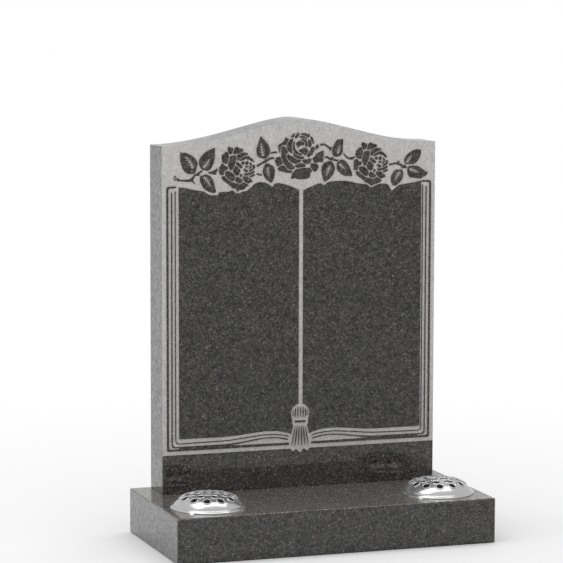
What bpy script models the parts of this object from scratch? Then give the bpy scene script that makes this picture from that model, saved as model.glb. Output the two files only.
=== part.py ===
"""Open book headstone: a tablet carved with an open book and roses, on a base with two lidded flower pots.

Metres, +Z up. The front faces -Y, and the origin is the middle of the base's underside.
The carving is drawn in units of about a millimetre on the tablet's face: x from the middle of the
tablet, z from the tablet's foot. The function spread turns those units into metres.
"""

import math

import bmesh
import bpy
from mathutils import Matrix, Vector

# Tablet
TABLET_WIDTH = 0.537
TABLET_HEIGHT = 0.689
TABLET_DEPTH = 0.077
SHOULDER_DROP = 0.0468
# Base
BASE_WIDTH = 0.610
BASE_DEPTH = 0.305
BASE_HEIGHT = 0.083
TABLET_SETBACK = 0.008
ARRIS = 0.0018
# Carving: depth of the frosted field, its start above the foot, and its margin beside the book
CARVE_DEPTH = 0.0015
PANEL_HEIGHT = 0.0726
BOOK_MARGIN = 0.0082
# Flower pots and their lids
LID_DIAMETER = 0.138
LID_HEIGHT = 0.027
LID_WALL = 0.0015
LID_HOLE = 0.012
LID_CLEARANCE = 0.003
POT_WALL = 0.0014
POT_FLANGE = 0.007
POT_GROUND_GAP = 0.006
SOCKET_CLEARANCE = 0.0012
SOCKET_FROM_SIDE = 0.083
SOCKET_SHELF_SHARE = 0.394
# Air between pieces that touch
GAP = 0.0003
# The tablet and the pots stand this far to the right of the base's middle
SET_RIGHT = 0.002

# Drawing units: half width of the book, foot of the frosted field, height of the tablet
DRAWN_HALF = 260.3
DRAWN_FOOT = 72.6
DRAWN_TOP = 689.0
FILL_SLANT = 0.31

tablet_back = BASE_DEPTH / 2 - TABLET_SETBACK
tablet_front = tablet_back - TABLET_DEPTH
tablet_foot = BASE_HEIGHT + GAP
socket_x = BASE_WIDTH / 2 - SOCKET_FROM_SIDE
socket_y = -BASE_DEPTH / 2 + SOCKET_SHELF_SHARE * (tablet_front + BASE_DEPTH / 2)
lid_radius = LID_DIAMETER / 2
flange_radius = lid_radius - LID_WALL - LID_CLEARANCE
pot_radius = flange_radius - POT_FLANGE
socket_radius = pot_radius + SOCKET_CLEARANCE


# Scene and helpers

def clear_scene():
    for obj in list(bpy.data.objects):
        bpy.data.objects.remove(obj, do_unlink=True)


def new_collection(name):
    found = bpy.data.collections.new(name)
    bpy.context.scene.collection.children.link(found)
    return found


def material(name, colour, roughness, metallic=0.0):
    made = bpy.data.materials.new(name)
    made.use_nodes = True
    shader = made.node_tree.nodes["Principled BSDF"]
    shader.inputs["Base Color"].default_value = (*colour, 1.0)
    shader.inputs["Roughness"].default_value = roughness
    shader.inputs["Metallic"].default_value = metallic
    made.diffuse_color = (*colour, 1.0)
    return made


def place(name, mesh, collection, surface=None):
    obj = bpy.data.objects.new(name, mesh)
    collection.objects.link(obj)
    if surface:
        mesh.materials.append(surface)
    else:
        obj.hide_render = True
        obj.display_type = "WIRE"
    return obj


def slab(name, outlines, front, back):
    """A mesh of closed outlines on the XZ plane, filled from y front to y back. Inner outlines are holes."""
    curve = bpy.data.curves.new(name, "CURVE")
    curve.dimensions = "2D"
    curve.fill_mode = "BOTH"
    curve.extrude = (back - front) / 2
    # Filled at a slant, as points that share a height would leave gaps in the fill
    slant = Matrix.Rotation(FILL_SLANT, 2)
    for outline in outlines:
        spline = curve.splines.new("POLY")
        spline.points.add(len(outline) - 1)
        for point, corner in zip(spline.points, outline):
            point.co = (*(slant @ Vector(corner)), 0, 1)
        spline.use_cyclic_u = True
    holder = bpy.data.objects.new(name + "_curve", curve)
    bpy.context.scene.collection.objects.link(holder)
    bpy.context.view_layer.update()
    mesh = bpy.data.meshes.new_from_object(holder)
    bpy.data.objects.remove(holder, do_unlink=True)
    form = bmesh.new()
    form.from_mesh(mesh)
    bmesh.ops.remove_doubles(form, verts=form.verts, dist=0.00001)
    for vert in form.verts:
        x, z = slant.inverted() @ vert.co.xy
        vert.co = (x, (front + back) / 2 + vert.co.z, z)
    form.normal_update()
    bmesh.ops.recalc_face_normals(form, faces=form.faces)
    if form.calc_volume(signed=True) < 0:
        bmesh.ops.reverse_faces(form, faces=form.faces)
    form.to_mesh(mesh)
    form.free()
    return mesh


def join_caps(mesh):
    """Makes one face of each of the slab's two filled sides."""
    form = bmesh.new()
    form.from_mesh(mesh)
    for side in (-1, 1):
        caps = [face for face in form.faces if face.normal.y * side > 0.9]
        bmesh.ops.dissolve_faces(form, faces=caps)
    form.to_mesh(mesh)
    form.free()


def lathe(name, profile, centre, foot, steps, collection, surface):
    """A turned piece. The profile runs in (radius, height), from the axis or closed on itself."""
    closed = min(radius for radius, _ in profile) > 0
    mesh = bpy.data.meshes.new(name)
    verts = [(radius, 0, height) for radius, height in profile]
    edges = [(i, i + 1) for i in range(len(profile) - 1)]
    if closed:
        edges.append((len(profile) - 1, 0))
    mesh.from_pydata(verts, edges, [])
    obj = place(name, mesh, collection, surface)
    obj.location = (centre[0], centre[1], foot)
    turn = obj.modifiers.new("turn", "SCREW")
    turn.angle = math.tau
    turn.steps = steps
    turn.render_steps = steps
    turn.use_merge_vertices = True
    turn.merge_threshold = 0.00001
    turn.use_normal_calculate = True
    turn.use_normal_flip = True
    return obj


def subtract(obj, cutter):
    cut = obj.modifiers.new("cut", "BOOLEAN")
    cut.operation = "DIFFERENCE"
    cut.solver = "EXACT"
    cut.object = cutter


def bevel_edges(obj, width):
    arris = obj.modifiers.new("arris", "BEVEL")
    arris.width = width
    arris.segments = 1
    arris.limit_method = "ANGLE"
    arris.angle_limit = math.radians(50)


# The drawing

def spread(points):
    """Drawing units to metres on the tablet's face."""
    across = (TABLET_WIDTH / 2 - BOOK_MARGIN) / DRAWN_HALF
    up = (TABLET_HEIGHT - PANEL_HEIGHT) / (DRAWN_TOP - DRAWN_FOOT)
    foot = tablet_foot + PANEL_HEIGHT
    return [(SET_RIGHT + x * across, foot + (z - DRAWN_FOOT) * up) for x, z in points]


def moved(points, x, z):
    return [(px + x, pz + z) for px, pz in points]


def mirrored(points):
    return [(-x, z) for x, z in points]


def sliver(x0, z0, x1, z1, bow, width, count=4):
    """A shape pointed at both ends, bowed towards +x by bow."""
    length = math.hypot(x1 - x0, z1 - z0)
    nx, nz = (z0 - z1) / length, (x1 - x0) / length
    sides = ([], [])
    for i in range(count + 1):
        t = i / count
        half = width / 2 * math.sin(math.pi * t) ** 0.6
        for side, points in zip((1, -1), sides):
            if 0 < i < count or side == 1:
                out = 4 * bow * t * (1 - t) + side * half
                points.append((x0 + (x1 - x0) * t + nx * out, z0 + (z1 - z0) * t + nz * out))
    return sides[0] + sides[1][::-1]


def oval(middle, reach, count):
    turns = [math.tau * i / count for i in range(count)]
    return [(middle[0] + reach[0] * math.cos(turn), middle[1] + reach[1] * math.sin(turn)) for turn in turns]


def stroke(points, width, end=0.45):
    """A drawn line that thins to the share end at its last point."""
    left, right = [], []
    for i, (x, z) in enumerate(points):
        before, after = points[max(i - 1, 0)], points[min(i + 1, len(points) - 1)]
        dx, dz = after[0] - before[0], after[1] - before[1]
        length = math.hypot(dx, dz)
        half = width / 2 * (1 + (end - 1) * i / (len(points) - 1))
        left.append((x - dz / length * half, z + dx / length * half))
        right.append((x + dz / length * half, z - dx / length * half))
    return left + right[::-1]


def ogee(count):
    """The tablet's outline, with its S-shaped shoulders."""
    half = TABLET_WIDTH / 2
    points = [(SET_RIGHT - half, tablet_foot), (SET_RIGHT + half, tablet_foot)]
    for i in range(2 * count + 1):
        x = half * (1 - i / count)
        t = abs(x / half) ** 0.82
        fall = SHOULDER_DROP * (3 * t * t - 2 * t ** 3)
        points.append((SET_RIGHT + x, tablet_foot + TABLET_HEIGHT - fall))
    return points


# Petals of a side rose, from its own middle
SIDE_ROSE = (
    ((-17, 40), (-15, 40), (-7, 36), (-9, 30), (-12, 27), (-15, 27), (-16.5, 32)),
    ((0, 40), (4, 37), (12, 35), (11, 32), (6, 29), (-1, 28), (-4, 27), (-6.5, 28), (-3, 37)),
    ((-16.5, 30.5), (-23, 29), (-28, 25), (-29, 19), (-27.5, 13), (-19, 10), (-17, 14), (-15.8, 22),
     (-16.2, 27)),
    ((-12.5, 21), (-5.5, 23), (-2, 23.5), (-1.5, 18), (-3, 11), (-5.5, 5), (-9, -3), (-12, -2),
     (-15.5, 6), (-14, 14)),
    ((0.5, 23.5), (12, 28), (21.5, 26), (13, 22.5), (7, 19), (2.5, 14.5), (1, 17)),
    ((5.5, 13.5), (9.5, 19), (17.5, 22), (24.5, 20.5), (30.5, 16.5), (33, 12), (30.5, 13), (24.5, 17),
     (16.5, 18.5), (10, 15.5)),
    ((-29, 8.5), (-23.5, 5), (-17.5, 1.5), (-22, -2), (-26, -3), (-25, -7.5), (-27, -12), (-31.5, -10.5),
     (-33.5, -4), (-32, 3)),
    ((-1.5, 5), (4, 0.5), (5.5, -4), (4.5, -11), (0.5, -12), (-4.5, -8.5), (-7, -3.5), (-4.5, 1.5)),
    ((-0.5, 12), (4.5, 8.5), (10, 3), (8, 1), (2.5, 4), (-1, 8)),
    ((-22, -6), (-14, -6.5), (-6.5, -11.5), (-3, -17), (-4.5, -21.5), (-9, -22.5), (-16, -17),
     (-20.5, -11)),
    ((-1, -16), (4.5, -18), (10.5, -23), (6, -25.5), (0.5, -25), (-3, -22.5)),
    ((-28.5, -13.5), (-24.5, -14.5), (-19.5, -19.5), (-8, -27), (0.5, -29), (8, -30.5), (14, -27),
     (21.5, -32), (13, -37.5), (5, -38.5), (1.5, -41), (-1, -37), (-9, -34), (-16, -28.5), (-23.5, -23.5),
     (-28, -18.5)),
    ((13, -15), (19.5, -16), (23.5, -18), (30.5, -25), (23.5, -27), (16.5, -23.5), (12.5, -19)),
    ((14.5, -10.8), (22, -9.8), (28, -8), (33.5, -4), (33.2, -8.5), (27, -11.5), (20, -12.8), (15, -12.8)),
    ((25, -14), (34, -11), (34.3, -13), (26.5, -16.5)),
    ((6.5, -10), (10, -12), (9, -15), (6.5, -14.5)),
    ((30.5, 5.5), (33.5, 5), (34.3, 1), (32.5, -2.5), (28.5, -5), (24, -5.8), (24, -4.3), (28, -3),
     (31, -0.5), (31.6, 2), (30, 3.5)),
    ((17.5, 7), (18.3, 11.5), (21.5, 12), (22, 8.5), (20, 6.5)),
    ((9, 9.5), (11.5, 11.8), (14, 11.5), (13, 8)),
    ((25, 9.7), (28.6, 8), (28.9, 3.5), (27, 0.8), (23.8, -1.2), (23.8, 0.4), (26, 2.3), (27.2, 4.5),
     (26.8, 7), (24.8, 8.3)),
    ((16.5, 2), (19.5, 4.3), (23, 4), (22.8, 2.6), (20, 2.5), (18, 0.6)),
    ((14, -3), (16, -0.8), (18, -3.3), (21.5, -4.6), (20, -6.8), (16, -6.2)),
)

# The middles of the side roses
ROSE_MIDDLES = ((-125, 599.8), (137.4, 602.9))

# Petals of the middle rose
MIDDLE_ROSE = (
    ((-19.2, 581.4), (-16.6, 586.6), (-10.6, 592.6), (-5.6, 595.2), (-0.6, 596.2), (7.4, 596.6),
     (15.9, 597.1), (20.9, 593.9), (18, 586.6), (17.1, 580.1), (9.4, 577.6), (-0.6, 577), (-7.6, 578.3),
     (-12.3, 580.1), (-16.6, 578.3), (-19.2, 578.9)),
    ((-44.3, 597.1), (-41.6, 600.6), (-36.6, 602.1), (-31.6, 601.6), (-29.2, 596.6), (-25.6, 592.6),
     (-17.3, 591.6), (-24.2, 589.6), (-30.6, 590.2), (-36.6, 592.6), (-43, 593.9)),
    ((-47.6, 617.6), (-40.6, 618.6), (-39.2, 614), (-36.6, 606.6), (-41.6, 605.2), (-44.9, 602.1),
     (-48.6, 606.6), (-49.9, 611.6)),
    ((-37.6, 638.6), (-33.6, 637.1), (-29.2, 632.6), (-25.6, 627.6), (-30.6, 625.2), (-33, 621.6),
     (-31.6, 614), (-28, 607.6), (-21.6, 601.6), (-12.3, 597.6), (-17.9, 596.4), (-25.6, 598.3),
     (-30.6, 603.9), (-35.6, 611.6), (-37.6, 619), (-36.6, 626.6), (-38.6, 631.6)),
    ((-29.6, 655.9), (-28, 652.6), (-23.6, 651.6), (-26.6, 646.6), (-29.6, 641.6), (-34.2, 642.6),
     (-38, 640.6), (-39.9, 636.6), (-41.6, 627.6), (-43, 635.3), (-42.4, 640.9), (-36.6, 644), (-33, 649.1)),
    ((-22.3, 649.6), (-15.4, 651.6), (-17.9, 645.3), (-19.2, 637.6), (-17.9, 630.3), (-16.6, 625.2),
     (-21.6, 629), (-25.6, 634), (-27.3, 639), (-25.6, 645.3)),
    ((-12.9, 647.6), (-14.2, 639), (-12.3, 631.6), (-5.4, 625.2), (2.1, 622.1), (-2.9, 620.9),
     (-10.4, 625.2), (-15.4, 632.6), (-16.1, 641.6)),
    ((-14.6, 627.6), (-10.4, 623.4), (-2.9, 619.6), (5.9, 616.6), (-0.6, 615.2), (-7.9, 616.6),
     (-14.2, 622.6)),
    ((-26.6, 624), (-20.4, 620.2), (-14.2, 615.2), (-5.4, 612.6), (0.9, 611.6), (-5.4, 607.6),
     (-11.6, 607.1), (-19.2, 610.2), (-25.6, 615.2), (-27.3, 620.2)),
    ((2.1, 611.6), (9.4, 612.6), (19.7, 614), (17.1, 608.3), (12.1, 606.4), (7.1, 608.3)),
    ((-11.6, 601.6), (-2.9, 605.2), (2.1, 605.4), (8.4, 602.1), (0.9, 600.2), (-5.4, 599.6),
     (-10.4, 600.2)),
    ((19, 604.6), (28.4, 603.9), (34.7, 601.6), (32.8, 595.2), (28.4, 590.6), (24.6, 593), (20.3, 598.3)),
    ((44.7, 629), (43.4, 620.2), (42.2, 609), (32.2, 608.3), (25.9, 609), (24, 615.2), (29.7, 622.6),
     (37.2, 626.6)),
    ((25.9, 635.3), (25.4, 629), (22.2, 622.6), (15.9, 619), (12.8, 620.2), (18.4, 629), (22.2, 635.3)),
    ((28.4, 636.6), (34.1, 640.3), (34.1, 635.3), (30.9, 632.1)),
    ((-2.9, 630.9), (5.9, 634.6), (11.4, 633.4), (12.8, 627.6), (9, 622.1), (3.4, 625.2)),
    ((-8.6, 642.6), (-5.4, 646.6), (0.9, 647.6), (5.9, 644), (4.4, 640.9), (-1.6, 639.6), (-6, 635.9)),
    ((-2.9, 655.3), (4.4, 656.6), (9.4, 654.1), (12.1, 650.3), (7.1, 653.4), (0.9, 654.1)),
    ((-1.6, 660.3), (7.1, 661), (17.1, 659.1), (15.9, 654.1), (12.1, 655.9), (5.9, 658.6)),
    ((-18.6, 656.6), (-14.2, 662.2), (-12.9, 659.1), (-16.1, 654.6)),
    ((-11, 655.9), (-6.6, 661), (-5.4, 662.6), (-2.3, 660.6), (-5.4, 657.2), (-10.4, 654.1)),
    ((18.4, 655.9), (23.4, 651.6), (25.9, 642.6), (24, 644), (20.4, 651.6)),
    ((14, 650.9), (18.4, 646.6), (19.7, 640.3), (16.4, 636.6), (15.4, 644)),
    ((0.4, 650.8), (4.6, 652.3), (8.8, 649.5), (11.4, 643.6), (11.6, 636), (10, 637.2), (9.2, 643),
     (7.2, 647.6), (4.2, 649.8), (1, 649.4)),
)

# Leaves, each from its tip or its stalk round to it again
LEAVES = (
    ((-233.5, 632.5), (-231, 630), (-225, 630.8), (-219, 629), (-211, 624.5), (-203.5, 618.5),
     (-200.8, 612), (-201.2, 605), (-203.3, 598), (-206.5, 592), (-212, 592.2), (-218.5, 591.9),
     (-224.5, 596), (-229.7, 604), (-232, 612), (-233.4, 620), (-232.8, 627)),
    ((-166.5, 639), (-172, 636.5), (-178, 634.6), (-184.5, 631.2), (-190, 626.5), (-196, 619.5),
     (-198, 614), (-197, 608), (-194.5, 602.5), (-191, 599.2), (-184, 597.3), (-178.5, 597.2),
     (-174.5, 601), (-170.5, 609), (-167.8, 618), (-167.2, 626), (-167.6, 633)),
    ((-195.5, 586.8), (-191, 587.6), (-187.5, 589.2), (-181, 589.3), (-176.8, 586.8), (-173, 583),
     (-169.8, 576), (-167.5, 567), (-164.5, 556.5), (-170, 556), (-177, 558), (-184, 561), (-190, 567),
     (-194, 574.5), (-195.7, 580)),
    ((-78.5, 658.5), (-74, 653), (-69, 648), (-63.5, 641), (-60.5, 635), (-60.3, 629), (-61.8, 623.5),
     (-66, 618.5), (-71, 616.8), (-78, 618), (-82.5, 619.8), (-85.5, 624), (-86.8, 632), (-85.5, 639),
     (-82, 648), (-80, 655)),
    ((-67, 608.3), (-60.5, 605.8), (-54, 601.8), (-51.5, 596), (-51, 590), (-52.5, 583), (-54.8, 576.5),
     (-57.5, 571.8), (-63, 575), (-68.5, 579.5), (-72.5, 585.5), (-74.8, 592), (-73.2, 599.5), (-70.5, 605)),
    ((83, 650.3), (77, 649.2), (72, 649), (68, 645), (64.3, 638), (61.8, 630), (61.8, 622.5),
     (65.5, 618.3), (70, 617.3), (75, 618), (80, 621.5), (82.4, 628), (82.3, 636), (83, 643)),
    ((57.3, 609.3), (52, 608.3), (46.5, 606.6), (42, 601), (40.3, 595), (41.3, 587), (43.3, 578),
     (46.5, 570.8), (50, 573.3), (55, 575.8), (61, 581.5), (65, 588), (67.3, 596), (64.8, 603),
     (60.8, 608.3)),
    ((101.8, 580.5), (92, 581.1), (85.5, 581.4), (79, 586), (73, 591.2), (70.6, 597), (71, 602),
     (72, 606.9), (76, 609.6), (81, 611.8), (86, 609.8), (91.5, 604.5), (96.3, 597), (99.8, 588.5)),
    ((239.3, 626.3), (232.5, 626.5), (228, 627.4), (221, 624.5), (213, 620), (207, 613.5), (205.2, 608.5),
     (206.3, 603.8), (209.3, 600.6), (216, 600.8), (226, 600.5), (231, 605), (235.5, 610.8), (238.5, 618.5)),
    ((253.5, 583.5), (248, 585.5), (241, 591.5), (234, 595.6), (226, 597), (216, 596.9), (212.6, 593.4),
     (211.5, 587), (213.5, 580), (217.5, 575.3), (224, 575), (232, 573.2), (239, 572.8), (245.5, 576.8),
     (250.5, 579.3)),
    ((200.3, 590.8), (196, 588.8), (192, 591), (185.5, 588.3), (181.5, 583), (178.5, 576), (179.3, 569),
     (181, 563.5), (185, 560.4), (190, 561.5), (197, 567), (202, 574), (203.4, 581), (202.6, 587)),
)

# The open vein in each leaf, from stalk to tip, and its width
VEIN_WIDTH = 2.4
VEINS = (
    ((-209.3, 601), (-212.5, 611), (-218, 618.5), (-228.5, 627)),
    ((-190, 602.5), (-184, 607.5), (-179.5, 614), (-176, 622.5)),
    ((-188.5, 586), (-182, 579.5), (-177, 572), (-173.3, 563.5)),
    ((-73, 621), (-76, 630), (-77.2, 640), (-77, 651)),
    ((-64.5, 601), (-65, 594), (-62.5, 586), (-60.5, 578.5)),
    ((72, 622.5), (74.5, 629), (76, 637), (76.8, 643.5)),
    ((57.5, 601), (54.5, 594), (51.5, 586), (48.8, 578.5)),
    ((75, 604.5), (80, 600), (86, 595.5), (91, 591)),
    ((210.5, 603), (214, 608), (217.5, 613), (222.5, 619.5)),
    ((215.5, 591.5), (223, 589.3), (231, 586), (238.5, 581.5)),
    ((197.5, 586.5), (191.5, 579.5), (187.5, 573), (184.8, 566)),
)

# Stems with their thorns, and the two-pronged leaf stalk
STEMS = (
    ((-239.5, 584.4), (-237, 582.8), (-234, 581.6), (-228, 581), (-221, 581), (-216, 581.8),
     (-212.5, 583.5),
     (-209.5, 586.8), (-206.5, 589.8), (-203.8, 591.2), (-199, 594), (-195.5, 596.2), (-192.3, 598),
     (-190.6, 597.2), (-191.5, 595.6), (-195, 593.3), (-198, 590.8), (-196.5, 589.2), (-198.8, 587.4),
     (-201, 589), (-203.5, 588.6), (-206, 586.2), (-209, 581.4), (-208, 577.5), (-204.3, 572.8),
     (-207.5, 574.6), (-210.5, 577), (-214, 577.8), (-221, 578), (-228, 578.6), (-234, 579.2), (-239.5, 579.3)),
    ((-180.8, 592.9), (-176, 594.6), (-171, 596), (-166.5, 598), (-162.8, 600.8), (-161.6, 600),
     (-163, 596),
     (-165.3, 593), (-164.3, 590.2), (-168, 589.6), (-172.5, 590.8), (-177, 591.9)),
    ((-86.3, 604.3), (-83, 606.8), (-78, 609.2), (-73.5, 611.8), (-71.3, 613.4), (-70.9, 615.7),
     (-69.2, 615.6), (-68.5, 614), (-64.5, 616.6), (-60, 618.6), (-54, 619), (-51.3, 617.8), (-52, 615.8),
     (-58, 615.5), (-62.5, 613.8), (-67, 611.2), (-68.6, 609.3), (-74.5, 607.6), (-79, 605.3), (-83, 602.7),
     (-86, 602.3)),
    ((-58.6, 626), (-57.5, 628.4), (-52, 629.4), (-46.6, 628.6), (-46.8, 626.6), (-52, 626.7),
     (-57.5, 625.4)),
    ((-86.3, 589.3), (-84, 590), (-80, 588.3), (-76.3, 587.6), (-76, 585.9), (-80, 586), (-84.5, 587),
     (-86.4, 588)),
    ((37.2, 639), (38.5, 641.3), (43, 642.2), (48, 641.2), (52.5, 638), (56, 635.6), (59.5, 635),
     (62, 634.6),
     (61.6, 633.2), (58.5, 632.9), (59.8, 628.3), (58.6, 627.8), (56, 631.5), (53.3, 634.2), (50.5, 636.6),
     (46.5, 638.6), (43, 639.4), (39.5, 638.6)),
    ((46.6, 616), (48, 618.3), (50.5, 618.9), (54.5, 616.7), (58.5, 615.2), (61.5, 616.3), (63.2, 617.3),
     (64.2, 616), (62.6, 614.3), (66, 612.9), (71, 611.5), (74.5, 611.8), (74.8, 610.3), (70.5, 608.9),
     (66, 610), (61.5, 610.8), (57.5, 611.6), (52.5, 614.5), (49.5, 616), (47.8, 615.3)),
    ((83.9, 623.6), (85.3, 622.8), (88.5, 618.8), (92.5, 616), (97, 614.6), (103, 616.2), (106.8, 616.6),
     (107, 614.6), (101.5, 613), (103, 611.2), (101.8, 610.6), (98.6, 611.9), (95.5, 611.7), (90.5, 614),
     (87, 617.8), (84, 622)),
    ((174.6, 599.3), (174.6, 601.5), (180, 602.3), (186, 603.6), (191, 603.8), (192.8, 605.3),
     (194.6, 607.2),
     (195.6, 606.2), (195.3, 602.4), (200, 600.6), (204, 597.6), (206.4, 599.8), (207, 601),
     (208.2, 599.4), (207.6, 596.6), (210.8, 595.2), (210.3, 593), (206, 593.6), (203.3, 593.3),
     (201.6, 592.2), (200, 592.8), (201.5, 595), (198, 597.4), (193.5, 599.8), (189, 600.7), (183, 600.3),
     (178, 599.2)),
)
# The cut end of the left stem: middle, and how far it reaches across and up
CUT_END = ((-243.6, 584.3), (2.9, 4.8), (1.2, 3.0))

# The upper edges of the pages, from the gutter outwards, cut short by the flowers
LEFT_TOP = (
    (-3.3, 556.8), (-15.5, 563), (-31, 568.5), (-43, 571), (-51.3, 570.3), (-55.5, 563.8), (-58.5, 566),
    (-64, 569.7), (-71, 572.8), (-81, 573.8), (-89.5, 571.5), (-96, 565.5), (-101, 561.5), (-106, 558),
    (-114, 556.8), (-120, 554.2), (-127, 554.4), (-133, 560.5), (-141.5, 557.3), (-158.8, 557),
    (-161.5, 551.5),
    (-175.5, 551.8), (-182, 554.5), (-188.5, 559), (-202, 561.4), (-217, 564.5), (-226, 566.5),
    (-236.7, 568),
)
RIGHT_TOP = (
    (4.5, 556.3), (16.5, 561.5), (30, 567), (39.5, 569.2), (43.5, 565.2), (46.5, 565), (51, 568.8),
    (57, 571.3), (70, 572.3), (88, 572), (100, 569.6), (110, 567.3), (121, 565.5), (131.5, 564.3),
    (137, 559),
    (141.5, 558.8), (148.5, 562.3), (157, 565.3), (166, 564.8), (173.5, 563.3), (177.3, 556), (179.5, 552),
    (183, 552.3), (190.5, 558.8), (198, 562.3), (211, 564), (226, 565.8), (240.3, 569),
)

# The lower edge of a page and the line under it: distance from the middle, height
PAGE_FOOT = (
    (17.5, 99.6), (22, 101.9), (30, 104.1), (40, 106.6), (50, 107.7), (70, 108.1), (90, 106.6),
    (110, 104.6),
    (130, 102.6), (150, 101.8),
)
PAGE_LINE = (
    (22.5, 96.1), (30, 98.6), (40, 100.1), (50, 101.1), (70, 101.8), (90, 100.1), (110, 98.1), (130, 95.8),
    (150, 94.6), (237, 93.4), (241.5, 95.2), (243.2, 99.5), (243.2, 330), (243.2, 561),
)
COVER = (
    (22, 79.8), (257.6, 79.8), (260.3, 82.5), (260.3, 566.6), (257.3, 569.6), (241.5, 569.6), (241.5, 566),
    (253.8, 566), (256, 563.8), (256, 86.6), (253, 83.7), (236, 83.7), (236, 85.7), (247.5, 85.9),
    (251.4, 90),
    (251.4, 558.5), (248.6, 558), (248.6, 92.2), (245, 88.1), (150, 88.3), (130, 89.4), (110, 91.5),
    (90, 94.4),
    (75, 96.1), (60, 96.6), (45, 96), (30, 93.4), (23.5, 91.1), (24.5, 89.1), (45, 93.9), (60, 94.5),
    (75, 93.9), (100, 90.4), (120, 87.5), (137, 85.7), (120, 85), (22, 84.5),
)
# The foot of the frosted field, where the tassel's ends dip into the polished panel
TASSEL_ENDS = (
    (-19.5, 72.6), (-14.2, 66.6), (-8.6, 72.2), (-0.2, 64.3), (7, 72.1), (13.8, 67), (18.8, 72.5),
)
# The tassel's knob: height of its middle, radius
KNOB = (138.8, 18.2)
# Polished slivers in the knob: across, low end, high end, bow, width
KNOB_SLIVERS = (
    (-12.6, 132, 146, -2, 1.7), (-8.4, 130.5, 150, -1.6, 2.6), (-3.9, 130, 152, -0.8, 2.7),
    (0.6, 132, 151.5, 0.2, 2.1), (5.1, 130, 152, 0.9, 2.7), (9.5, 130.5, 149.5, 1.6, 2.5),
    (13.2, 133, 145.5, 2, 1.6),
)
# Polished slivers in the skirt: across at the top and at the foot, width
SKIRT_SLIVERS = (
    (-9.2, -17.2, 2.3), (-5.4, -10.4, 2.9), (-1.6, -3.4, 2.6), (2.2, 3.6, 2.9), (5.8, 10.2, 2.9),
    (9.6, 16.6, 2.4),
)
BAND = ((-10.6, 121.3), (10.6, 121.3), (10.6, 125.5), (-10.6, 125.5))


def page(side, top):
    """One page: round the tassel, up the gutter, and along its upper edge."""
    edge = abs(top[-1][0])
    height, radius = KNOB
    last = math.degrees(math.acos(abs(top[0][0]) / radius))
    around = [(13.4, 117.5), (15.8, 118.1), (15.8, 127.7)]
    for turn in (-18, 14, 46, last):
        angle = math.radians(turn)
        around.append((radius * math.cos(angle), height + radius * math.sin(angle)))
    foot = ((edge, 103.2), (edge - 1.2, 102)) + PAGE_FOOT[::-1]
    return [(side * x, z) for x, z in foot + tuple(around)] + list(top)


def drawing():
    """Every raised, polished shape of the drawing."""
    shapes = [page(-1, LEFT_TOP), page(1, RIGHT_TOP)]
    for line in (list(COVER), stroke(PAGE_LINE, 2.1, 1.0)):
        shapes += [line, mirrored(line)]
    for x, low, high, bow, width in KNOB_SLIVERS:
        shapes.append(sliver(x, high, x, low, bow, width))
    shapes.append(list(BAND))
    for top, foot, width in SKIRT_SLIVERS:
        shapes.append(sliver(top, 115.5, foot, 77, 0, width))
    for middle in ROSE_MIDDLES:
        shapes += [moved(points, *middle) for points in SIDE_ROSE]
    middle, outside, _ = CUT_END
    return shapes + [*MIDDLE_ROSE, *LEAVES, *STEMS, oval(middle, outside, 10)]


def openings():
    """The frosted veins of the leaves and the frosted middle of the stem's cut end."""
    middle, _, inside = CUT_END
    return [stroke(points, VEIN_WIDTH, 0.4) for points in VEINS] + [oval(middle, inside, 8)]


def field():
    """The frosted field, wider and taller than the tablet, so that the cutter runs past its edges."""
    wide = DRAWN_HALF * 1.1
    top = DRAWN_TOP * 1.05
    return [(-wide, DRAWN_FOOT), *TASSEL_ENDS, (wide, DRAWN_FOOT), (wide, top), (-wide, top)]


# The lid's outer profile from rim to crown, as shares of its radius and height
LID_PROFILE = (
    (1.0, 0.0), (1.0, 0.075), (0.965, 0.15), (0.925, 0.205), (0.9, 0.3), (0.82, 0.51), (0.72, 0.69),
    (0.57, 0.85), (0.35, 0.955), (0.15, 0.995), (0.0, 1.0),
)
# Rings of holes in a lid: number, radius as a share of the lid's, turn in degrees
HOLE_RINGS = ((4, 0.22, 44), (8, 0.47, 21), (12, 0.69, 14))
# How far the left lid is turned from the right one, in degrees
LEFT_LID_TURN = 25


def dome_at(share):
    """The dome's height and slope at a radius that is this share of the lid's."""
    for (r0, z0), (r1, z1) in zip(LID_PROFILE, LID_PROFILE[1:]):
        if r1 <= share < r0:
            height = LID_HEIGHT * (z0 + (z1 - z0) * (r0 - share) / (r0 - r1))
            return height, math.atan2((z1 - z0) * LID_HEIGHT, (r0 - r1) * lid_radius)


def socket(side):
    """The middle of the left (-1) or right (1) socket."""
    return side * socket_x + SET_RIGHT, socket_y


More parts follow.
